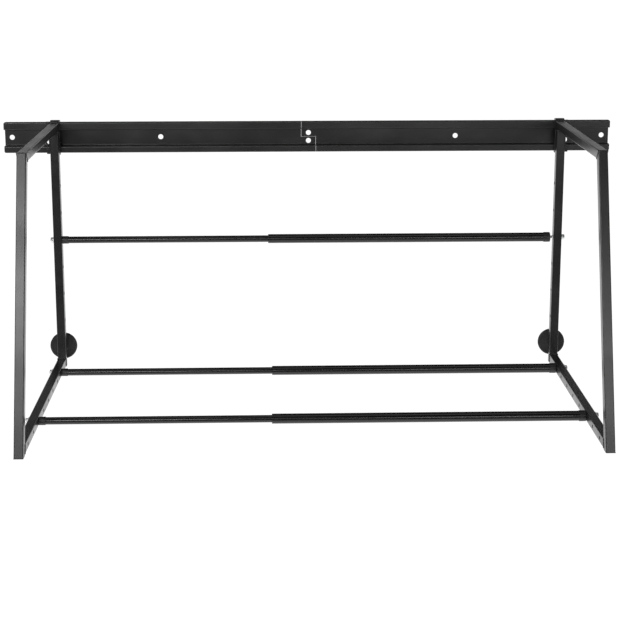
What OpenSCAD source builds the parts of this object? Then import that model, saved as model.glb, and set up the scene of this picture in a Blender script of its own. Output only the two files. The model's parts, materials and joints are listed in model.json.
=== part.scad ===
// Wall-mounted tyre rack, adjustable in width.
// Two square-tube side frames hook over a two-piece hat-section wall rail and
// slide along it; three telescoping round bars join the frames.
// Frame: X along the wall, +Y into the wall, +Z up. The origin is on the wall
// plane, at the middle of the rail's back face.

/* [Wall rail] */
// Overall length of the two rail halves together
rail_length = 1664; // [1660:1:1760]
// Height of the rail
rail_height = 85; // [84:1:90]
// Depth of the rail from the wall to the face of its flanges
rail_depth = 20; // [18:1:24]
// Thickness of the rail's sheet
rail_sheet = 2; // [1.5:0.25:2.5]
// Top of the recessed web above the origin
web_top = 21.2; // [19:0.1:22]
// Bottom of the recessed web below the origin
web_bottom = -24; // [-26:0.5:-22]
// Depth of the lips turned back along both edges
lip_depth = 10; // [8:0.5:10]
// Stud pitch that the wall holes are spaced for
stud_pitch = 406.4; // [400:0.1:410]
// Radius of the wall holes
wall_hole_r = 7; // [5:0.5:8]

/* [Side frames] */
// Distance from the middle of the rack to the middle of each side frame
frame_x = 692; // [690:1:700]
// Outside width of the square tube
tube = 23; // [22:0.5:25]
// Wall thickness of the square tube
tube_wall = 1.5; // [1.2:0.1:2]
// Outside corner radius of the square tube
tube_corner = 2.5; // [2:0.1:3]
// Reach of the top arm's front corner from the wall
top_reach = 539; // [520:1:560]
// Reach of the front strut's foot from the wall
foot_reach = 736; // [720:1:760]
// Bottom of the side frames below the origin
frame_bottom = -644; // [-660:1:-630]
// Pitch of the hole rows in the posts and the lower arms
hole_pitch = 76.2; // [70:0.1:77]
// Radius of the holes in the tubes
tube_hole_r = 4.5; // [4.3:0.1:5]

/* [Bars] */
// Outside diameter of the outer bar tubes
outer_bar_d = 25; // [24:0.5:26]
// Inside diameter of the outer bar tubes
outer_bar_bore = 19.5; // [19.2:0.1:20]
// Outside diameter of the inner bar tubes
inner_bar_d = 18.5; // [18:0.1:18.6]
// Inside diameter of the inner bar tubes
inner_bar_bore = 15.5; // [15:0.1:15.8]
// Length of each bar tube
bar_length = 782; // [760:1:800]
// Height of the upper bar
upper_bar_z = -283; // [-290:1:-275]
// Distance of the rear lower bar from the wall
rear_bar_reach = 135; // [130:1:140]
// Number of holes from the rear lower bar to the front lower bar
bar_hole_steps = 5; // [3:1:6]

/* [Fasteners] */
// Radius of the M8 threads
bolt_r = 4; // [3:0.5:4]
// Width of the hexagons across their flats
hex_flats = 13; // [13:0.5:14]
// Gap at the upper bar's right end, where the bolt's thread shows
upper_gap = 9; // [6:0.5:10]

/* [Wall pads] */
// Diameter of the round wall pads
pad_d = 75; // [70:1:80]
// Height of the pads' middle
pad_z = -596; // [-600:1:-590]

/* [Hidden] */
$fn = 64;
cut = 1;
far = 2000;

// Rail: bends, seam and holes
rail_bend = 1.5;
rail_top = rail_height / 2;
seam_gap = 0.5;
seam_z = -2.5;
seam_half = 20;
middle_hole_rise = 11;
wall_hole_z = -1.5;
outer_hole_x = 2 * stud_pitch;
end_hole_x = 711.2;
end_hole_z = -14;
flange_corner = 5;

// Hooks: one bent plate between each post and the rail
hook_plate = 4;
hook_gap = 0.5;
hook_bend = 1.5;
hook_over = 1;
hook_throat = 9;
hook_leg = 20.5;
hook_tab = 12.5;
hook_tongue = 25;
plate_inboard = 1;
plate_outboard = 6;
plate_wing = 12;
wing_height = 13;
wing_top = rail_top + hook_over + 1;

// Side frames
post_back = rail_depth + hook_gap + hook_plate;
post_mid = post_back + tube / 2;
post_front = post_back + tube;
arm_bottom = rail_top - tube;
lean = atan((foot_reach - top_reach) / (rail_top - frame_bottom));
tube_bore = tube - 2 * tube_wall;
bore_corner = tube_corner - tube_wall;
lower_arm_z = frame_bottom + tube / 2;
lower_arm_holes = 8;
post_hole_first = -2;
post_hole_last = 3;
strut_back_foot = foot_reach - tube / cos(lean);
foot_flange = 1.5;
foot_depth = 12;
foot_wall = 2;

// Bars
front_bar_reach = rear_bar_reach + bar_hole_steps * hole_pitch;
inboard_face = frame_x - tube / 2;
outboard_face = frame_x + tube / 2;
cap_end = 2;
cap_sleeve = 15;
cap_wall = 1.2;
cap_round = 1.5;
plug_length = 25;
bar_end = inboard_face - cap_end;

// Fasteners
flat_washer_r = 9.5;
flat_washer_t = 1.6;
lock_washer_r = 6.5;
lock_washer_t = 2;
lock_slit = 1.5;
washer_stack = flat_washer_t + lock_washer_t;
bolt_head_t = 5.3;
thread_in_plug = 18;
nut_t = 6.5;

// Wall pads, as distances from the wall
pad_t = 9;
pad_boss_r = 13;
pad_boss_t = 12;
pad_round = 2.5;
stud_head_r = 8;
stud_head_t = 3;
stud_head_back = 6;
stud_end = 39;
stud_play = 0.35;
thread_fit = 0.05;

// Colours
frame_black = [0.10, 0.10, 0.11];
bar_black = [0.07, 0.07, 0.08];
rubber_black = [0.13, 0.13, 0.13];
plastic_black = [0.04, 0.04, 0.04];
zinc = [0.78, 0.79, 0.80];

// ---- shared shapes ------------------------------------------------------

// Puts a shape drawn for the right side on the left when side is -1.
module on_side(side) {
    mirror([side < 0 ? 1 : 0, 0, 0]) children();
}

// Square with round corners, centred.
module rounded_square(size, r) {
    square([size, size - 2 * r], center = true);
    square([size - 2 * r, size], center = true);
    for (sx = [-1, 1], sy = [-1, 1])
        translate([sx * (size / 2 - r), sy * (size / 2 - r)]) circle(r = r);
}

// Square tube of a given length along +Z, centred on its axis.
module square_tube(length) {
    linear_extrude(length) difference() {
        rounded_square(tube, tube_corner);
        rounded_square(tube_bore, bore_corner);
    }
}

// Cylinder along X, centred on the origin.
module rod_x(r, length) {
    rotate([0, 90, 0]) cylinder(r = r, h = length, center = true);
}

// Cylinder from one distance off the wall to another, along Y.
module rod_y(r, from, to) {
    translate([0, -from, 0]) rotate([90, 0, 0]) cylinder(r = r, h = to - from);
}

// Hexagon of a given height along +Z, with its bore.
module hexagon(height, bore = 0) {
    difference() {
        cylinder(d = hex_flats / cos(30), h = height, $fn = 6);
        if (bore > 0)
            translate([0, 0, -cut]) cylinder(r = bore, h = height + 2 * cut);
    }
}

// Everything in front of a plane that leans by angle about X, through a point
// at distance reach from the wall and height z.
module in_front(reach, z, angle) {
    translate([0, -reach, z]) rotate([angle, 0, 0])
        translate([-far / 2, -far, -far / 2]) cube(far);
}

// Quarter of a bent sheet. quadrant counts turns of 90 degrees.
module sheet_bend(centre, inside, sheet, quadrant) {
    translate(centre) rotate(90 * quadrant) intersection() {
        difference() {
            circle(r = inside + sheet);
            circle(r = inside);
        }
        square(inside + sheet);
    }
}

// Flat stretch of sheet between two opposite corners.
module sheet_flat(low, high) {
    translate(low) square(high - low);
}

// Extrudes a section drawn as (distance from the wall, height) along X.
module along_wall(from, to) {
    translate([from, 0, 0]) rotate([90, 0, 90]) linear_extrude(to - from)
        mirror([1, 0]) children();
}

// ---- wall rail ----------------------------------------------------------

// Hat section: lip, flange, recessed web, flange, lip.
module rail_section() {
    t = rail_sheet;
    r = rail_bend + t;
    front = rail_depth;
    web_roof = web_top + t;
    web_floor = web_bottom - t;
    for (top = [rail_top, -rail_top + t])
        sheet_flat([front - lip_depth, top - t], [front - r, top]);
    sheet_bend([front - r, rail_top - r], rail_bend, t, 0);
    sheet_flat([front - t, web_top + r], [front, rail_top - r]);
    sheet_bend([front - r, web_top + r], rail_bend, t, 3);
    sheet_flat([r, web_top], [front - r, web_roof]);
    sheet_bend([r, web_roof - r], rail_bend, t, 1);
    sheet_flat([0, web_floor + r], [t, web_roof - r]);
    sheet_bend([r, web_floor + r], rail_bend, t, 2);
    sheet_flat([r, web_floor], [front - r, web_bottom]);
    sheet_bend([front - r, web_bottom - r], rail_bend, t, 0);
    sheet_flat([front - t, -rail_top + r], [front, web_bottom - r]);
    sheet_bend([front - r, -rail_top + r], rail_bend, t, 3);
}

// Rounds one end corner of the rail's flanges.
module end_corner(side, height_sign) {
    translate([side * (rail_length / 2 - flange_corner), 0,
               height_sign * (rail_top - flange_corner)])
        difference() {
            translate([side > 0 ? 0 : -2 * flange_corner, -far / 2,
                       height_sign > 0 ? 0 : -2 * flange_corner])
                cube([2 * flange_corner, far, 2 * flange_corner]);
            rotate([90, 0, 0]) cylinder(r = flange_corner, h = 2 * far, center = true);
        }
}

module wall_hole(x, z) {
    translate([x, 0, z]) rod_y(wall_hole_r, -cut, rail_sheet + cut);
}

// One half of the rail. The halves meet in a Z-shaped seam: the right half's
// upper tongue lies over the left half's lower tongue.
module rail_half(side) {
    end = side * rail_length / 2;
    tongue = -side * (seam_half - seam_gap / 2);
    notch = side * (seam_half + seam_gap / 2);
    seam = seam_z + side * seam_gap / 2;
    difference() {
        along_wall(min(end, tongue), max(end, tongue)) rail_section();
        translate([side > 0 ? -far + notch : notch, -far / 2, side > 0 ? -far + seam : seam])
            cube(far);
        for (h = [-1, 1]) end_corner(side, h);
        wall_hole(side * outer_hole_x, wall_hole_z);
        wall_hole(side * stud_pitch, wall_hole_z);
        wall_hole(side * end_hole_x, end_hole_z);
        wall_hole(0, seam_z + side * middle_hole_rise);
    }
}

// ---- side frames --------------------------------------------------------

module rear_post(side) {
    color(frame_black) difference() {
        translate([side * frame_x, -post_mid, frame_bottom])
            square_tube(arm_bottom - frame_bottom);
        for (i = [post_hole_first : post_hole_last])
            translate([side * frame_x, -post_mid, upper_bar_z - i * hole_pitch])
                rod_x(tube_hole_r, 2 * tube);
        translate([side * frame_x, 0, pad_z])
            rod_y(tube_hole_r, post_back - cut, post_back + tube_wall + cut);
    }
}

// The mitre between the top arm and the strut halves the angle between them.
module mitre_front() {
    in_front(top_reach, rail_top, (90 - lean) / 2);
}

module top_arm(side) {
    color(frame_black) difference() {
        translate([side * frame_x, -post_back, rail_top - tube / 2])
            rotate([90, 0, 0]) square_tube(top_reach);
        mitre_front();
    }
}

module front_strut(side) {
    overrun = 40;
    color(frame_black) intersection() {
        translate([side * frame_x, -top_reach, rail_top]) rotate([-lean, 0, 0])
            translate([0, tube / 2, -far / 2]) square_tube(far / 2 + overrun);
        mitre_front();
        translate([-far / 2, -far, frame_bottom]) cube(far);
    }
}

module lower_arm(side) {
    color(frame_black) difference() {
        translate([side * frame_x, -post_front, lower_arm_z])
            rotate([90, 0, 0]) square_tube(foot_reach);
        in_front(strut_back_foot, frame_bottom, -lean);
        for (i = [0 : lower_arm_holes - 1])
            translate([side * frame_x, -rear_bar_reach - i * hole_pitch, lower_arm_z])
                rod_x(tube_hole_r, 2 * tube);
    }
}

// Section of the hook: base plate, top leg, rear leg and bottom tab.
module hook_section() {
    t = hook_plate;
    r = hook_bend + t;
    front = post_back;
    top = rail_top + hook_over + t;
    back = hook_throat - t;
    sheet_flat([front - t, -top + r], [front, top - r]);
    sheet_bend([front - r, top - r], hook_bend, t, 0);
    sheet_flat([back + r, top - t], [front - r, top]);
    sheet_bend([back + r, top - r], hook_bend, t, 1);
    sheet_flat([back, top - hook_leg], [back + t, top - r]);
    sheet_bend([front - r, -top + r], hook_bend, t, 3);
    sheet_flat([front - hook_tab, -top], [front - r, -top + t]);
}

module rail_hook(side) {
    inboard = tube / 2 + plate_inboard;
    color(frame_black) on_side(side) translate([frame_x, 0, 0]) {
        along_wall(-hook_tongue / 2, hook_tongue / 2) hook_section();
        translate([-inboard, -post_back, -rail_top])
            cube([inboard + tube / 2 + plate_outboard, hook_plate, rail_height]);
        for (low = [-wing_top, wing_top - wing_height])
            translate([0, -post_back, low])
                cube([tube / 2 + plate_wing, hook_plate, wing_height]);
    }
}

// Push-in plug in an open tube end: a flange below and a body inside.
module tube_end_plug() {
    hollow = tube_bore - 2 * foot_wall;
    translate([0, 0, -foot_flange]) linear_extrude(foot_flange)
        rounded_square(tube, tube_corner);
    difference() {
        linear_extrude(foot_depth) rounded_square(tube_bore, bore_corner);
        translate([0, 0, foot_wall]) linear_extrude(foot_depth) square(hollow, center = true);
    }
}

module post_foot_plug(side) {
    color(plastic_black) translate([side * frame_x, -post_mid, frame_bottom])
        tube_end_plug();
}

// The strut's foot is cut level, so its plug is as deep as the slanted cut.
module strut_foot_plug(side) {
    color(plastic_black) {
        translate([side * frame_x - tube / 2, -foot_reach, frame_bottom - foot_flange])
            cube([tube, foot_reach - strut_back_foot, foot_flange]);
        intersection() {
            translate([side * frame_x, -foot_reach, frame_bottom]) rotate([-lean, 0, 0])
                translate([0, tube / 2, -tube]) linear_extrude(far / 4)
                    rounded_square(tube_bore, bore_corner);
            translate([-far / 2, -far, frame_bottom]) cube([far, far, foot_depth]);
        }
    }
}

// ---- bars ---------------------------------------------------------------

// Places children on a bar's axis: "upper", "rear" or "front".
module on_bar(bar) {
    reach = bar == "upper" ? post_mid : bar == "rear" ? rear_bar_reach : front_bar_reach;
    translate([0, -reach, bar == "upper" ? upper_bar_z : lower_arm_z]) children();
}

// Distance from the middle to the end of a bar's tube on one side.
function bar_end_x(bar, side) = bar_end - (bar == "upper" && side > 0 ? upper_gap : 0);

module bar_tube(bar, side, d, bore) {
    end = side * bar_end_x(bar, side);
    color(bar_black) on_bar(bar) translate([end - side * bar_length / 2, 0, 0])
        difference() {
            rod_x(d / 2, bar_length);
            rod_x(bore / 2, bar_length + 2 * cut);
        }
}

// Plastic cap over a bar's end, with a hole for the bolt.
module bar_cap(bar, side, d) {
    r = d / 2 + cap_wall;
    color(plastic_black) on_bar(bar) on_side(side)
        translate([bar_end_x(bar, side) - cap_sleeve, 0, 0]) rotate([0, 90, 0])
            rotate_extrude() difference() {
                union() {
                    square([r, cap_sleeve + cap_end - cap_round]);
                    square([r - cap_round, cap_sleeve + cap_end]);
                    translate([r - cap_round, cap_sleeve + cap_end - cap_round])
                        circle(r = cap_round);
                }
                translate([-cut, -cut]) square([d / 2 + cut, cap_sleeve + cut]);
                translate([-cut, -cut]) square([tube_hole_r + cut, far]);
            }
}

// Threaded steel plug pressed into a bar's end.
module bar_plug(bar, side, bore) {
    color(zinc) on_bar(bar) on_side(side)
        translate([bar_end_x(bar, side) - plug_length / 2, 0, 0]) difference() {
            rod_x(bore / 2, plug_length);
            rod_x(bolt_r, plug_length + 2 * cut);
        }
}

// Places children on all three bars, at the outboard face of the tube, with
// +Z pointing outboard.
module at_bolts(side) {
    for (bar = ["upper", "rear", "front"])
        on_bar(bar) on_side(side) translate([outboard_face, 0, 0]) rotate([0, 90, 0])
            children();
}

module flat_washers(side) {
    color(zinc) at_bolts(side) difference() {
        cylinder(r = flat_washer_r, h = flat_washer_t);
        translate([0, 0, -cut]) cylinder(r = tube_hole_r, h = flat_washer_t + 2 * cut);
    }
}

module lock_washers(side) {
    color(zinc) at_bolts(side) translate([0, 0, flat_washer_t]) difference() {
        cylinder(r = lock_washer_r, h = lock_washer_t);
        translate([0, 0, -cut]) cylinder(r = tube_hole_r, h = lock_washer_t + 2 * cut);
        translate([0, -lock_slit / 2, -cut])
            cube([lock_washer_r + cut, lock_slit, lock_washer_t + 2 * cut]);
    }
}

module bar_bolt(shank) {
    translate([0, 0, washer_stack]) hexagon(bolt_head_t);
    translate([0, 0, washer_stack - shank]) cylinder(r = bolt_r, h = shank);
}

module bar_bolts(side) {
    reach = washer_stack + tube + cap_end + thread_in_plug;
    color(zinc) for (bar = ["upper", "rear", "front"])
        on_bar(bar) on_side(side) translate([outboard_face, 0, 0]) rotate([0, 90, 0])
            bar_bolt(reach + bar_end - bar_end_x(bar, side));
}

// ---- wall pads ----------------------------------------------------------

// Rubber disc on the wall, with a boss that holds the stud's head.
module wall_pad(side) {
    pocket_r = stud_head_r + stud_play;
    color(rubber_black) translate([side * frame_x, 0, pad_z]) rotate([90, 0, 0])
        rotate_extrude() difference() {
            union() {
                square([pad_d / 2, pad_t - pad_round]);
                square([pad_d / 2 - pad_round, pad_t]);
                translate([pad_d / 2 - pad_round, pad_t - pad_round])
                    circle(r = pad_round);
                square([pad_boss_r, pad_boss_t]);
            }
            translate([-cut, stud_head_back - stud_play])
                square([pocket_r + cut, stud_head_t + 2 * stud_play]);
            translate([-cut, stud_head_back])
                square([bolt_r + stud_play + cut, pad_boss_t]);
        }
}

module pad_stud(side) {
    color(zinc) translate([side * frame_x, 0, pad_z]) {
        rod_y(stud_head_r, stud_head_back, stud_head_back + stud_head_t);
        rod_y(bolt_r, stud_head_back + stud_head_t / 2, stud_end);
    }
}

module pad_nut(side, from) {
    color(zinc) translate([side * frame_x, -from, pad_z]) rotate([90, 0, 0])
        hexagon(nut_t, bolt_r + thread_fit);
}

module pad_jam_nut(side) pad_nut(side, post_back - nut_t);
module pad_weld_nut(side) pad_nut(side, post_back + tube_wall);

// ---- assembly -----------------------------------------------------------

color(frame_black) rail_half(-1);  // rail_left
color(frame_black) rail_half(1);  // rail_right
rear_post(-1);  // rear_post_left
rear_post(1);  // rear_post_right
top_arm(-1);  // top_arm_left
top_arm(1);  // top_arm_right
front_strut(-1);  // front_strut_left
front_strut(1);  // front_strut_right
lower_arm(-1);  // lower_arm_left
lower_arm(1);  // lower_arm_right
rail_hook(-1);  // rail_hook_left
rail_hook(1);  // rail_hook_right
post_foot_plug(-1);  // post_foot_plug_left
post_foot_plug(1);  // post_foot_plug_right
strut_foot_plug(-1);  // strut_foot_plug_left
strut_foot_plug(1);  // strut_foot_plug_right
for (bar = ["upper", "rear", "front"]) {
    bar_tube(bar, -1, inner_bar_d, inner_bar_bore);
    bar_tube(bar, 1, outer_bar_d, outer_bar_bore);
    bar_cap(bar, -1, inner_bar_d);
    bar_cap(bar, 1, outer_bar_d);
    bar_plug(bar, -1, inner_bar_bore);
    bar_plug(bar, 1, outer_bar_bore);
}
bar_bolts(-1);  // bar_bolts_left
bar_bolts(1);  // bar_bolts_right
lock_washers(-1);  // lock_washers_left
lock_washers(1);  // lock_washers_right
flat_washers(-1);  // flat_washers_left
flat_washers(1);  // flat_washers_right
wall_pad(-1);  // wall_pad_left
wall_pad(1);  // wall_pad_right
pad_stud(-1);  // pad_stud_left
pad_stud(1);  // pad_stud_right
pad_jam_nut(-1);  // pad_jam_nut_left
pad_jam_nut(1);  // pad_jam_nut_right
pad_weld_nut(-1);  // pad_weld_nut_left
pad_weld_nut(1);  // pad_weld_nut_right
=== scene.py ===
"""Looks of the wall-mounted tyre rack: materials, welds, threads and pads."""
import json
import math

import bmesh
import bpy
from mathutils import Matrix, Vector


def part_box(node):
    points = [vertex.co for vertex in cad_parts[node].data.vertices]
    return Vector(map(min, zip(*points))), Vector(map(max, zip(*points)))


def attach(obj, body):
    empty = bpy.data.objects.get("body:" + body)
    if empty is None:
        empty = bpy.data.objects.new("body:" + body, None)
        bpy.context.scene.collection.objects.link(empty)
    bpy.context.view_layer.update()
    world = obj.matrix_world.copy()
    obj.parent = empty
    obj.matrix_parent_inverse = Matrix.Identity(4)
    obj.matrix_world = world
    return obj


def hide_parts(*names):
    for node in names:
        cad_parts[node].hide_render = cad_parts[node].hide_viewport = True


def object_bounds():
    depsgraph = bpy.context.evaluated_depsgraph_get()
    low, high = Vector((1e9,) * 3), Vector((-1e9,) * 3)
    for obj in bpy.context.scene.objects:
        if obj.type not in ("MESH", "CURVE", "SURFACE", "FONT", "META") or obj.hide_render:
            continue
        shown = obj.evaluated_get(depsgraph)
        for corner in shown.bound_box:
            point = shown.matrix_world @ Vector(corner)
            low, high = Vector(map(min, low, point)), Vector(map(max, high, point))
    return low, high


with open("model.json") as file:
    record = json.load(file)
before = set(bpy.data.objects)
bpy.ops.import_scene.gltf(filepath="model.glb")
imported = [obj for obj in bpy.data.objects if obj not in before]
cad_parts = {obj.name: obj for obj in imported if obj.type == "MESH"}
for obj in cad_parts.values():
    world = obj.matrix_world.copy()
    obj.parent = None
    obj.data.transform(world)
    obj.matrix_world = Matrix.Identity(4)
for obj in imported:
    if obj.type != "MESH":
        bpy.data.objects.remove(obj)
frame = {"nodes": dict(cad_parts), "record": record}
cad_low, cad_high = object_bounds()

MM = 0.001
SIDES = {"left": -1, "right": 1}
BARS = ("upper", "rear", "front")

# M8 hardware
HEX_FLATS = 13 * MM
HEAD_HEIGHT = 5.3 * MM
THREAD_R = 4 * MM
PITCH = 1.25 * MM


# ---- places, read from the frame ------------------------------------------

def middle(node):
    """Middle of a node's box."""
    low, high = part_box(node)
    return (Vector(low) + Vector(high)) / 2


def spread(node):
    """Size of a node's box."""
    low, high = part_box(node)
    return Vector(high) - Vector(low)


TUBE = spread("rear_post_left").x


# ---- mesh helpers ----------------------------------------------------------

def add_piece(name, bm, body, slot):
    """Turns a bmesh into a smooth object on a body, with the finish of its slot."""
    mesh = bpy.data.meshes.new(name)
    bmesh.ops.remove_doubles(bm, verts=bm.verts, dist=1e-7)
    bmesh.ops.recalc_face_normals(bm, faces=bm.faces)
    bm.to_mesh(mesh)
    bm.free()
    piece = bpy.data.objects.new(name, mesh)
    bpy.context.scene.collection.objects.link(piece)
    mesh.materials.append(MATERIALS[slot])
    for face in mesh.polygons:
        face.use_smooth = True
    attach(piece, body)
    return piece


def sharpen(piece, degrees=32):
    """Stops the smooth shading at edges that turn by more than an angle."""
    mesh = piece.data
    bm = bmesh.new()
    bm.from_mesh(mesh)
    for edge in bm.edges:
        if len(edge.link_faces) == 2:
            edge.smooth = edge.calc_face_angle(0.0) < math.radians(degrees)
    bm.to_mesh(mesh)
    bm.free()


def join_rings(bm, rings, closed=False):
    """Faces between neighbouring rings of vertices."""
    pairs = list(zip(rings, rings[1:]))
    if closed:
        pairs.append((rings[-1], rings[0]))
    for a, b in pairs:
        count = len(a)
        for i in range(count):
            j = (i + 1) % count
            bm.faces.new((a[i], a[j], b[j], b[i]))


def lathe(bm, profile, place, steps=96):
    """Solid of revolution about local Z from closed (radius, height) points.

    A point at radius 0 closes the solid on its axis.
    """
    rings = []
    for radius, height in profile:
        if radius == 0:
            vertex = bm.verts.new(place @ Vector((0, 0, height)))
            rings.append([vertex])
            continue
        ring = []
        for i in range(steps):
            turn = 2 * math.pi * i / steps
            ring.append(bm.verts.new(
                place @ Vector((radius * math.cos(turn), radius * math.sin(turn), height))))
        rings.append(ring)
    for a, b in zip(rings, rings[1:] + rings[:1]):
        if len(a) == 1 and len(b) == 1:
            continue
        for i in range(steps):
            j = (i + 1) % steps
            if len(a) == 1:
                bm.faces.new((a[0], b[j], b[i]))
            elif len(b) == 1:
                bm.faces.new((a[i], a[j], b[0]))
            else:
                bm.faces.new((a[i], a[j], b[j], b[i]))


def thread_radius(along, turn):
    """Radius of the V thread at a distance along its axis and an angle.

    The crest and the root are each flattened over a tenth of the flank.
    """
    depth = 0.61 * PITCH
    phase = (along / PITCH - turn / (2 * math.pi)) % 1.0
    flank = abs(2 * phase - 1)
    return THREAD_R - depth * min(1.0, max(0.0, 1.25 * flank - 0.125))


def threaded_rod(bm, place, low, high, thread_low, thread_high):
    """Rod along local Z, chamfered at its low end, with a helical thread on a stretch."""
    steps = 28
    per_turn = 8
    chamfer = PITCH * 0.7
    heights = [low, low + chamfer]
    count = max(1, round((thread_high - thread_low) / PITCH * per_turn))
    heights += [thread_low + (thread_high - thread_low) * i / count for i in range(count + 1)]
    heights.append(high)
    rings = []
    for height in heights:
        ring = []
        for i in range(steps):
            turn = 2 * math.pi * i / steps
            r = THREAD_R
            if thread_low <= height <= thread_high:
                fade = min(1.0, (height - thread_low) / PITCH, (thread_high - height) / PITCH)
                r -= fade * (THREAD_R - thread_radius(height, turn))
            if height == low:
                r = THREAD_R - chamfer
            ring.append(bm.verts.new(
                place @ Vector((r * math.cos(turn), r * math.sin(turn), height))))
        rings.append(ring)
    join_rings(bm, rings)
    bm.faces.new(rings[0][::-1])
    bm.faces.new(rings[-1])


def hexagon(bm, place, thickness, bore=0.0):
    """Hexagon whose corners are turned down by a 30 degree chamfer.

    A nut has a bore and a chamfer on both faces, and a head has a dished top.
    """
    steps = 96
    chamfer = math.radians(30)
    face_r = HEX_FLATS / 2 * 0.95

    def reach(turn):
        """Distance from the axis to the hexagon's side."""
        sector = (turn + math.pi / 6) % (math.pi / 3) - math.pi / 6
        return HEX_FLATS / 2 / math.cos(sector)

    def ring(radius_of, height_of):
        """Vertices whose radius and height follow from their angle."""
        out = []
        for i in range(steps):
            turn = 2 * math.pi * i / steps
            radius = radius_of(turn)
            out.append(bm.verts.new(place @ Vector(
                (radius * math.cos(turn), radius * math.sin(turn), height_of(turn)))))
        return out

    def slope(turn):
        """How far the chamfer has come down at the hexagon's side."""
        return (reach(turn) - face_r) * math.tan(chamfer)

    rings = [
        ring(reach, slope if bore else (lambda turn: 0.0)),
        ring(reach, lambda turn: thickness - slope(turn)),
        ring(lambda turn: face_r, lambda turn: thickness),
    ]
    if bore:
        edge = 0.5 * MM
        rings.insert(0, ring(lambda turn: face_r, lambda turn: 0.0))
        rings.append(ring(lambda turn: bore + edge, lambda turn: thickness))
        rings.append(ring(lambda turn: bore, lambda turn: thickness - edge))
        rings.append(ring(lambda turn: bore, lambda turn: edge))
        rings.append(ring(lambda turn: bore + edge, lambda turn: 0.0))
        join_rings(bm, rings, closed=True)
    else:
        dish_r, floor_r, dish_depth = face_r * 0.82, face_r * 0.78, 0.25 * MM
        rings.append(ring(lambda turn: dish_r, lambda turn: thickness))
        rings.append(ring(lambda turn: floor_r, lambda turn: thickness - dish_depth))
        join_rings(bm, rings)
        bm.faces.new(rings[0][::-1])
        bm.faces.new(rings[-1])


# ---- materials --------------------------------------------------------------

# A Mix node has sockets of the same name for each kind of data; these are for colour
MIX_A, MIX_B, MIX_RESULT = 6, 7, 2


def new_material(name):
    """Empty node material with its Principled shader."""
    material = bpy.data.materials.new(name)
    material.use_nodes = True
    return material, material.node_tree, material.node_tree.nodes["Principled BSDF"]


def add_node(tree, kind, **values):
    """Adds a node and sets its inputs or properties."""
    node = tree.nodes.new(kind)
    for key, value in values.items():
        if key in node.inputs:
            node.inputs[key].default_value = value
        else:
            setattr(node, key, value)
    return node


def noise_of(tree, scale, detail=4.0, roughness=0.55, stretch=None):
    """Noise in object space, in metres; stretch squeezes it along the axes."""
    place = add_node(tree, "ShaderNodeTexCoord")
    texture = add_node(tree, "ShaderNodeTexNoise", Scale=scale, Detail=detail,
                       Roughness=roughness)
    source = place.outputs["Object"]
    if stretch:
        mapping = add_node(tree, "ShaderNodeMapping", Scale=stretch)
        tree.links.new(source, mapping.inputs["Vector"])
        source = mapping.outputs["Vector"]
    tree.links.new(source, texture.inputs["Vector"])
    return texture.outputs["Fac"]


def ramp_of(tree, source, stops):
    """Colour ramp with (position, grey or colour) stops."""
    ramp = tree.nodes.new("ShaderNodeValToRGB")
    elements = ramp.color_ramp.elements
    while len(elements) < len(stops):
        elements.new(0.5)
    for element, (position, colour) in zip(elements, stops):
        element.position = position
        if not isinstance(colour, (tuple, list)):
            colour = (colour, colour, colour)
        element.color = (*colour, 1.0)
    tree.links.new(source, ramp.inputs["Fac"])
    return ramp.outputs["Color"]


def add_bump(tree, shader, height, strength, distance, edge_radius):
    """Gives a shader a bump from a height output, over softened edges."""
    bump = add_node(tree, "ShaderNodeBump", Strength=strength, Distance=distance)
    tree.links.new(height, bump.inputs["Height"])
    if edge_radius:
        bevel = add_node(tree, "ShaderNodeBevel", samples=6, Radius=edge_radius)
        tree.links.new(bevel.outputs["Normal"], bump.inputs["Normal"])
    tree.links.new(bump.outputs["Normal"], shader.inputs["Normal"])


def mix_of(tree, factor, low, high):
    """Mixes two colours or colour outputs by a factor output."""
    mix = tree.nodes.new("ShaderNodeMix")
    mix.data_type = "RGBA"
    tree.links.new(factor, mix.inputs["Factor"])
    for socket, value in ((mix.inputs[MIX_A], low), (mix.inputs[MIX_B], high)):
        if isinstance(value, (tuple, list)):
            socket.default_value = (*value, 1.0)
        else:
            tree.links.new(value, socket)
    return mix.outputs[MIX_RESULT]


def powder_coat(name, dark, light, roughness, peel, edge, wear):
    """Black powder coat: orange peel, fine speckle, cloudy colour and handling marks.

    dark and light are the greys of the clouds, peel is how strong the orange peel
    is, edge is the radius of the softened edges, and wear is how strong the marks are.
    """
    material, tree, shader = new_material(name)
    clouds = noise_of(tree, 9.0, detail=3.0)
    grain = noise_of(tree, 900.0, detail=1.0)
    peel_height = noise_of(tree, 240.0, detail=1.0, roughness=0.5)
    marks = noise_of(tree, 22.0, detail=2.0, stretch=(0.35, 1.0, 1.0))
    colour = ramp_of(tree, clouds, [(0.3, dark), (0.7, light)])
    speckle = ramp_of(tree, grain, [(0.55, 0.0), (0.8, 0.22)])
    speck = (light * 2.2,) * 3
    colour = mix_of(tree, speckle, colour, speck)
    worn = ramp_of(tree, marks, [(0.52, 0.0), (0.78, wear)])
    scuff = (light * 1.9 + 0.006,) * 3
    colour = mix_of(tree, worn, colour, scuff)
    tree.links.new(colour, shader.inputs["Base Color"])
    rough = ramp_of(tree, noise_of(tree, 10.0, detail=1.0),
                    [(0.3, roughness - 0.03), (0.7, roughness + 0.04)])
    rough = mix_of(tree, worn, rough, (roughness + 0.07,) * 3)
    tree.links.new(rough, shader.inputs["Roughness"])
    add_bump(tree, shader, peel_height, peel, 0.25 * MM, edge)
    shader.inputs["Specular IOR Level"].default_value = 0.5
    return material


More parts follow.
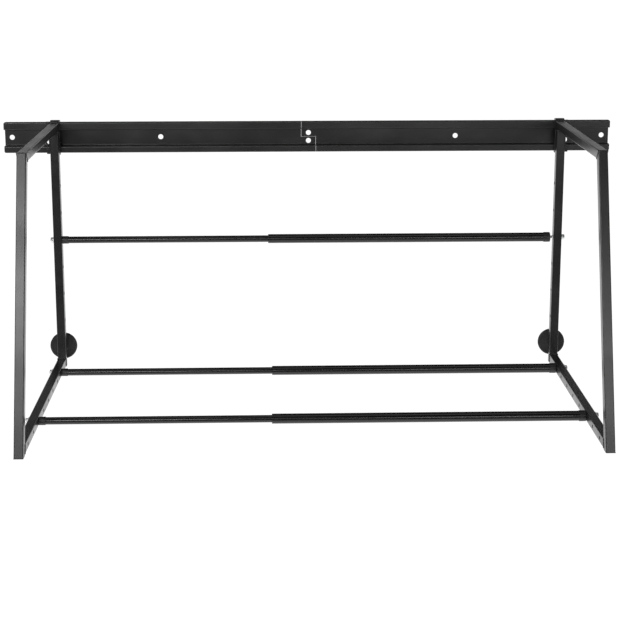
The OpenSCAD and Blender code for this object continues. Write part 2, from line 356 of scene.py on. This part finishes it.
def zinc_plate():
    """Bright zinc: fine mottling, faint blue and straw tints, turned marks."""
    material, tree, shader = new_material("zinc_plate")
    mottle = noise_of(tree, 420.0, detail=5.0, roughness=0.65)
    tint = noise_of(tree, 70.0, detail=2.0)
    grey = ramp_of(tree, mottle, [(0.3, (0.62, 0.63, 0.65)), (0.7, (0.86, 0.87, 0.88))])
    straw = ramp_of(tree, tint, [(0.42, (0.70, 0.73, 0.78)), (0.62, (0.80, 0.78, 0.70))])
    blend = ramp_of(tree, tint, [(0.3, 0.25), (0.7, 0.4)])
    tree.links.new(mix_of(tree, blend, grey, straw), shader.inputs["Base Color"])
    rough = ramp_of(tree, mottle, [(0.3, 0.30), (0.75, 0.50)])
    tree.links.new(rough, shader.inputs["Roughness"])
    shader.inputs["Metallic"].default_value = 1.0
    fine = noise_of(tree, 2600.0, detail=2.0)
    add_bump(tree, shader, fine, strength=0.12, distance=0.05 * MM, edge_radius=0.25 * MM)
    return material


def rubber():
    """Moulded black rubber: matt, chalky bloom, fine pitting."""
    material, tree, shader = new_material("black_rubber")
    bloom = noise_of(tree, 55.0, detail=6.0, roughness=0.65)
    colour = ramp_of(tree, bloom, [(0.35, 0.011), (0.7, 0.026)])
    tree.links.new(colour, shader.inputs["Base Color"])
    rough = ramp_of(tree, bloom, [(0.3, 0.62), (0.75, 0.82)])
    tree.links.new(rough, shader.inputs["Roughness"])
    pits = noise_of(tree, 1500.0, detail=3.0)
    add_bump(tree, shader, pits, strength=0.3, distance=0.1 * MM, edge_radius=0.5 * MM)
    return material


def moulded_plastic():
    """Black polyethylene: eroded-mould texture and a soft sheen."""
    material, tree, shader = new_material("black_plastic")
    cloud = noise_of(tree, 40.0, detail=4.0)
    colour = ramp_of(tree, cloud, [(0.3, 0.008), (0.7, 0.014)])
    tree.links.new(colour, shader.inputs["Base Color"])
    rough = ramp_of(tree, cloud, [(0.3, 0.40), (0.7, 0.52)])
    tree.links.new(rough, shader.inputs["Roughness"])
    spark = noise_of(tree, 1200.0, detail=2.0)
    add_bump(tree, shader, spark, strength=0.22, distance=0.08 * MM, edge_radius=0.4 * MM)
    return material


MATERIALS = {
    "rail_paint": powder_coat("rail_powder_coat", dark=0.009, light=0.013, roughness=0.32,
                              peel=0.06, edge=0.5 * MM, wear=0.45),
    "frame_paint": powder_coat("frame_powder_coat", dark=0.010, light=0.014, roughness=0.31,
                               peel=0.045, edge=0.4 * MM, wear=0.35),
    "bar_paint": powder_coat("bar_powder_coat", dark=0.004, light=0.006, roughness=0.23,
                             peel=0.010, edge=0.0, wear=0.15),
    "zinc": zinc_plate(),
    "rubber": rubber(),
    "plastic": moulded_plastic(),
}


def dress_cad_nodes():
    """Gives each CAD node the finish of its slot."""
    slots = {part["node"]: part["material_slot"] for part in frame["record"]["subparts"]}
    for node, item in frame["nodes"].items():
        item.data.materials.clear()
        item.data.materials.append(MATERIALS[slots[node]])


# ---- fasteners ----------------------------------------------------------------

def outward(side, x, y, z):
    """Frame at a point whose local Z points away from the middle of the rack."""
    return Matrix.Translation((x, y, z)) @ Matrix.Rotation(side * math.pi / 2, 4, "Y")


def off_wall(x, z):
    """Frame on the wall whose local Z points away from it."""
    return Matrix.Translation((x, 0, z)) @ Matrix.Rotation(math.pi / 2, 4, "X")


def bar_bolts(name, side):
    """Hexagon bolts through the tubes into the bars' plugs, with real threads."""
    head_base = spread(f"flat_washers_{name}").x + spread(f"lock_washers_{name}").x
    in_plug = 18 * MM
    threaded = 26 * MM
    face = side * max(abs(corner.x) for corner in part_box(f"lower_arm_{name}"))
    bm = bmesh.new()
    for bar in BARS:
        axis = middle(f"{bar}_plug_{name}")
        plug_end = max(abs(corner.x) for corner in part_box(f"{bar}_plug_{name}"))
        tip = plug_end - in_plug - abs(face)
        place = outward(side, face, axis.y, axis.z)
        hexagon(bm, place @ Matrix.Translation((0, 0, head_base)), HEAD_HEIGHT)
        threaded_rod(bm, place, tip, head_base + MM, tip + MM, tip + threaded)
    piece = add_piece(f"hex_bolts_{name}", bm, f"{name}_frame", "zinc")
    sharpen(piece)
    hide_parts(f"bar_bolts_{name}")


def jam_nut(name):
    """Chamfered nut that locks the pad's stud against the post."""
    node = f"pad_jam_nut_{name}"
    low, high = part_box(node)
    centre = middle(node)
    thread_play = 0.05 * MM
    bm = bmesh.new()
    place = off_wall(centre.x, centre.z) @ Matrix.Translation((0, 0, -high.y))
    hexagon(bm, place, high.y - low.y, bore=THREAD_R + thread_play)
    piece = add_piece(f"jam_nut_{name}", bm, f"{name}_frame", "zinc")
    sharpen(piece)
    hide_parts(node)


def pad_stud(name):
    """Stud with a flat head held in the pad and a thread up to the post."""
    node = f"pad_stud_{name}"
    low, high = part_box(node)
    centre = middle(node)
    head_r = (high.x - low.x) / 2
    back, end = -high.y, -low.y
    head = 3 * MM
    edge = 0.4 * MM
    place = off_wall(centre.x, centre.z)
    bm = bmesh.new()
    lathe(bm, [(0, back), (head_r - edge, back), (head_r, back + edge),
               (head_r, back + head - edge), (head_r - edge, back + head),
               (0, back + head)], place, steps=48)
    plain = 0.5 * MM
    threaded_rod(bm, place, back + head - edge, end, back + head + plain, end - edge / 2)
    piece = add_piece(f"threaded_stud_{name}", bm, f"{name}_stud", "zinc")
    sharpen(piece)
    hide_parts(node)


def wall_pad(name):
    """Rubber pad: grip rings on the wall side, a dished front and a boss."""
    node = f"wall_pad_{name}"
    low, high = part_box(node)
    centre = middle(node)
    radius = (high.x - low.x) / 2
    thick = 9 * MM
    boss_r, boss = 13 * MM, high.y - low.y
    groove = 1.1 * MM
    groove_pitch = 6 * MM
    groove_mouth, groove_floor = 1.4 * MM, 0.9 * MM
    profile = [(0, 0)]
    groove_r = 9 * MM
    while groove_r < radius - groove_pitch:
        profile += [(groove_r - groove_mouth, 0), (groove_r - groove_floor, groove),
                    (groove_r + groove_floor, groove), (groove_r + groove_mouth, 0)]
        groove_r += groove_pitch

    # The rim: a small chamfer at the wall and a quarter round in front
    rounding = 2.5 * MM
    arc_steps = 6
    profile += [(radius - 1.0 * MM, 0), (radius - 0.3 * MM, 0.3 * MM), (radius, 1.0 * MM)]
    for i in range(arc_steps + 1):
        turn = math.pi / 2 * i / arc_steps
        profile.append((radius - rounding + rounding * math.cos(turn),
                        thick - rounding + rounding * math.sin(turn)))

    # The dish between the rim and the fillet at the foot of the boss
    rim, dish, edge = 6 * MM, 0.7 * MM, 0.8 * MM
    profile += [(radius - rim, thick), (radius - rim - edge, thick - dish),
                (boss_r + 3.6 * MM, thick - dish), (boss_r + 1.6 * MM, thick - 0.3 * MM),
                (boss_r + 0.4 * MM, thick + 0.7 * MM), (boss_r, thick + 1.6 * MM),
                (boss_r, boss - edge), (boss_r - edge, boss)]

    # The bore for the stud and the pocket for its head
    bore_r, pocket_r = 4.4 * MM, 8.35 * MM
    pocket_back, pocket_front = 5.65 * MM, 9.35 * MM
    profile += [(bore_r + edge, boss), (bore_r, boss - edge), (bore_r, pocket_front),
                (pocket_r, pocket_front), (pocket_r, pocket_back), (0, pocket_back)]
    bm = bmesh.new()
    lathe(bm, profile, off_wall(centre.x, centre.z))
    piece = add_piece(f"rubber_pad_{name}", bm, f"{name}_pad", "rubber")
    sharpen(piece, 40)
    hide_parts(node)


# ---- welds --------------------------------------------------------------------

def weld_bead(name, body, path, radius=1.7 * MM, closed=False):
    """Rippled bead along straight stretches; each ripple is one weld puddle.

    The bead swells and thins slowly, and tapers at the ends of an open path.
    """
    step, ripple, around = 0.45 * MM, 1.8 * MM, 10
    swell, taper = 5.3 * MM, 1.5 * MM
    askew = Vector((0.31, 0.52, 0.79))  # no stretch runs along it
    points = [Vector(point) for point in path]
    if closed:
        points.append(points[0].copy())
    stations = []
    travelled = 0.0
    for a, b in zip(points, points[1:]):
        length = (b - a).length
        count = max(2, round(length / step))
        for i in range(count):
            stations.append((a.lerp(b, i / count), travelled + length * i / count,
                             (b - a).normalized()))
        travelled += length
    if not closed:
        stations.append((points[-1], travelled, (points[-1] - points[-2]).normalized()))
    bm = bmesh.new()
    rings = []
    for index, (spot, along, ahead) in enumerate(stations):
        before = stations[index - 1][2] if index or closed else ahead
        heading = (ahead + before).normalized() if (ahead + before).length > 0.1 else ahead
        across = heading.cross(askew).normalized()
        up = heading.cross(across)
        phase = (along / ripple) % 1.0
        size = radius * (0.92 + 0.12 * math.sqrt(1 - (2 * phase - 1) ** 2)
                         + 0.05 * math.sin(along / swell))
        if not closed:
            size *= min(1.0, 0.35 + min(along, travelled - along) / taper)
        rings.append([bm.verts.new(spot + size * (math.cos(turn) * across
                                                  + math.sin(turn) * up))
                      for turn in (2 * math.pi * i / around for i in range(around))])
    join_rings(bm, rings, closed)
    if not closed:
        bm.faces.new(rings[0][::-1])
        bm.faces.new(rings[-1])
    add_piece(name, bm, body, "frame_paint")


def side_welds(name, side):
    """Beads at the corners of a side frame and along its hook plate."""
    body = f"{name}_frame"
    arm_low, arm_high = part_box(f"top_arm_{name}")
    post_low, post_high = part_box(f"rear_post_{name}")
    foot_low, foot_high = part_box(f"lower_arm_{name}")
    strut_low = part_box(f"front_strut_{name}")[0]
    left_face, right_face = post_low.x, post_high.x
    lean = math.atan2(arm_low.y - strut_low.y, arm_high.z - strut_low.z)
    sunk = 0.6 * MM

    def weld_around(bead, near, far):
        """Bead up one side of a tube, across it and down the other side."""
        weld_bead(f"weld_{bead}_{name}", body, [
            (right_face, *near), (right_face, *far),
            (left_face, *far), (left_face, *near)])

    plate_gap = 3 * MM
    top = arm_low.z - sunk
    weld_around("post_top", (post_high.y - plate_gap, top), (post_low.y, top))

    inside_y = arm_low.y + TUBE * (1 - math.sin(lean)) / math.cos(lean)
    front_y, front_z = arm_low.y + sunk, arm_high.z - sunk
    weld_bead(f"weld_mitre_{name}", body, [
        (right_face, front_y, front_z), (left_face, front_y, front_z),
        (left_face, inside_y, arm_low.z), (right_face, inside_y, arm_low.z)],
        radius=1.4 * MM, closed=True)

    bottom = foot_low.z + 1 * MM
    weld_around("lower_rear", (foot_high.y, bottom), (foot_high.y, foot_high.z))

    def strut_back(z):
        """Place of the strut's rear face at a height."""
        return (strut_low.y + TUBE / math.cos(lean)
                + (z - strut_low.z) * math.tan(lean))

    weld_around("lower_front", (strut_back(bottom), bottom),
                (strut_back(foot_high.z), foot_high.z))

    stitches = ((-38 * MM, -14 * MM), (-4 * MM, 17 * MM))
    for edge, x in (("outboard", side * max(abs(left_face), abs(right_face))),
                    ("inboard", side * min(abs(left_face), abs(right_face)))):
        for part, (start, end) in enumerate(stitches):
            weld_bead(f"weld_hook_{edge}_{part}_{name}", body,
                      [(x, post_high.y, start), (x, post_high.y, end)], radius=1.6 * MM)
    inset = 2 * MM
    weld_bead(f"weld_hook_top_{name}", body, [
        (left_face + inset, arm_high.y, arm_high.z),
        (right_face - inset, arm_high.y, arm_high.z)])


# ---- stage, light and camera --------------------------------------------------

def make_floor():
    """Plain pale floor, as far below the rack as on a real wall."""
    drop = 1.4
    radius = 3.0
    bm = bmesh.new()
    bmesh.ops.create_circle(bm, cap_ends=True, radius=radius, segments=96)
    mesh = bpy.data.meshes.new("floor")
    bm.to_mesh(mesh)
    bm.free()
    floor = bpy.data.objects.new("floor", mesh)
    bpy.context.scene.collection.objects.link(floor)
    floor.location = ((cad_low.x + cad_high.x) / 2, (cad_low.y + cad_high.y) / 2,
                      cad_low.z - drop)
    material, tree, shader = new_material("pale_floor")
    shader.inputs["Base Color"].default_value = (0.8, 0.8, 0.8, 1)
    shader.inputs["Roughness"].default_value = 0.9
    shader.inputs["Specular IOR Level"].default_value = 0.1
    shader.inputs["Emission Color"].default_value = (1, 1, 1, 1)
    shader.inputs["Emission Strength"].default_value = 1.0
    mesh.materials.append(material)


def make_world():
    """White surroundings: bright behind the rack, dim above and in front of it."""
    world = bpy.data.worlds.new("studio")
    bpy.context.scene.world = world
    world.use_nodes = True
    tree = world.node_tree
    tree.nodes.clear()
    direction = add_node(tree, "ShaderNodeTexCoord")
    parts = tree.nodes.new("ShaderNodeSeparateXYZ")
    tree.links.new(direction.outputs["Generated"], parts.inputs[0])
    behind = add_node(tree, "ShaderNodeMapRange", **{
        "From Min": -0.2, "From Max": 0.5, "To Min": 0.08, "To Max": 1.4})
    above = add_node(tree, "ShaderNodeMapRange", **{
        "From Min": 0.09, "From Max": 0.19, "To Min": 1.0, "To Max": 0.05})
    level = add_node(tree, "ShaderNodeMath", operation="MULTIPLY")
    tree.links.new(parts.outputs["Y"], behind.inputs["Value"])
    tree.links.new(parts.outputs["Z"], above.inputs["Value"])
    tree.links.new(behind.outputs[0], level.inputs[0])
    tree.links.new(above.outputs[0], level.inputs[1])
    shown = add_node(tree, "ShaderNodeBackground", Color=(1, 1, 1, 1), Strength=1.05)
    lit = add_node(tree, "ShaderNodeBackground", Color=(1, 1, 1, 1))
    tree.links.new(level.outputs[0], lit.inputs["Strength"])
    path = tree.nodes.new("ShaderNodeLightPath")
    mix = tree.nodes.new("ShaderNodeMixShader")
    out = tree.nodes.new("ShaderNodeOutputWorld")
    tree.links.new(path.outputs["Is Camera Ray"], mix.inputs[0])
    tree.links.new(lit.outputs[0], mix.inputs[1])
    tree.links.new(shown.outputs[0], mix.inputs[2])
    tree.links.new(mix.outputs[0], out.inputs[0])


def add_softbox(name, place, target, size, radiance):
    """Rectangular area light aimed at a point, as bright as its radiance says."""
    data = bpy.data.lights.new(name, "AREA")
    data.shape = "RECTANGLE"
    data.size, data.size_y = size
    data.energy = radiance * math.pi * size[0] * size[1]
    light = bpy.data.objects.new(name, data)
    light.location = place
    aim = (Vector(target) - Vector(place)).to_track_quat("-Z", "Y")
    light.rotation_euler = aim.to_euler()
    bpy.context.scene.collection.objects.link(light)


def make_lights():
    """A key at the left of the camera, a low strip at its right and a faint top light."""
    heart = (cad_low + cad_high) / 2
    add_softbox("key", heart + Vector((-1.75, -3.9, 1.25)), heart, size=(2.6, 1.1), radiance=9.2)
    add_softbox("strip", heart + Vector((1.6, -3.9, 0.65)), heart, size=(2.4, 0.8), radiance=4.8)
    add_softbox("top", heart + Vector((0, -0.6, 3.0)), heart, size=(4.0, 1.6), radiance=0.8)


def make_camera():
    """Camera in front of the rack, a little above it."""
    data = bpy.data.cameras.new("camera")
    data.sensor_width = 36
    data.lens = 80.20
    data.shift_y = -0.18
    data.clip_end = 200
    camera = bpy.data.objects.new("camera", data)
    camera.location = (-0.0931, -3.8160, 0.5772)
    pitch, yaw = math.radians(11.27), math.radians(-1.61)
    camera.rotation_euler = (math.pi / 2 - pitch, 0, yaw)
    bpy.context.scene.collection.objects.link(camera)
    bpy.context.scene.camera = camera


make_camera()
make_world()
make_lights()
make_floor()
dress_cad_nodes()
for side_name, side_sign in SIDES.items():
    bar_bolts(side_name, side_sign)
    jam_nut(side_name)
    pad_stud(side_name)
    wall_pad(side_name)
    side_welds(side_name, side_sign)

bpy.context.scene.view_settings.view_transform = "Standard"
